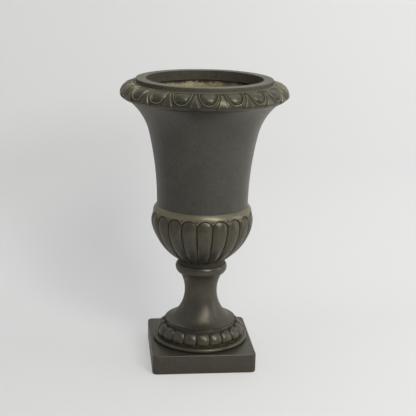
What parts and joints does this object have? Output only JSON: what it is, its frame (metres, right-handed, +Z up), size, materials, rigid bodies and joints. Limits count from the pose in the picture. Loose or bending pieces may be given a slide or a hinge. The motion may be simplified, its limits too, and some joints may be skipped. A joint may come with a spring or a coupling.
{
  "type": "urn planter",
  "caption": "Tall campana urn planter on a square plinth: gadrooned foot and bowl, waisted stem, flaring open body, egg-and-dart rim and a central tie rod.",
  "frame": {"origin": "centre of the square plinth's underside, on the floor", "axes": "+Z up along the urn's axis, towards the mouth; X and Y square to the plinth's faces"},
  "size_m": [0.4588, 0.4588, 0.8],
  "materials": {
    "plinth": "bronze patina over fibre clay, satin",
    "foot_bead_ring": "bronze patina over fibre clay, satin",
    "foot_gadroon_ring": "bronze patina over fibre clay, satin, worn crests",
    "trumpet_stem": "bronze patina over fibre clay, satin",
    "knop_collar": "bronze patina over fibre clay, satin",
    "gadrooned_bowl": "bronze patina over fibre clay, satin, worn crests",
    "campana_body": "bronze patina over fibre clay, satin",
    "egg_and_dart_ring": "bronze patina over fibre clay, satin, worn crests",
    "lip_ring": "bronze patina over fibre clay, rubbed and speckled",
    "body_lining": "bare fibre clay, rough",
    "bowl_lining": "bare fibre clay, rough",
    "tie_rod": "zinc plated threaded rod",
    "top_nut": "zinc plated",
    "top_washer": "zinc plated",
    "sealing_gasket": "matt black rubber",
    "spreader_bar": "galvanised flat bar",
    "bottom_washer": "zinc plated",
    "bottom_nut": "zinc plated"
  },
  "bodies": {
    "root": {"plinth": "plinth", "foot_bead_ring": "foot_bead_ring", "foot_gadroon_ring": "foot_gadroon_ring", "trumpet_stem": "trumpet_stem", "knop_collar": "knop_collar", "gadrooned_bowl": "gadrooned_bowl", "campana_body": "campana_body", "egg_and_dart_ring": "egg_and_dart_ring", "lip_ring": "lip_ring", "body_lining": "body_lining", "bowl_lining": "bowl_lining", "tie_rod": "tie_rod", "top_nut": "top_nut", "top_washer": "top_washer", "sealing_gasket": "sealing_gasket", "spreader_bar": "spreader_bar", "bottom_washer": "bottom_washer", "bottom_nut": "bottom_nut"}
  },
  "joints": []
}
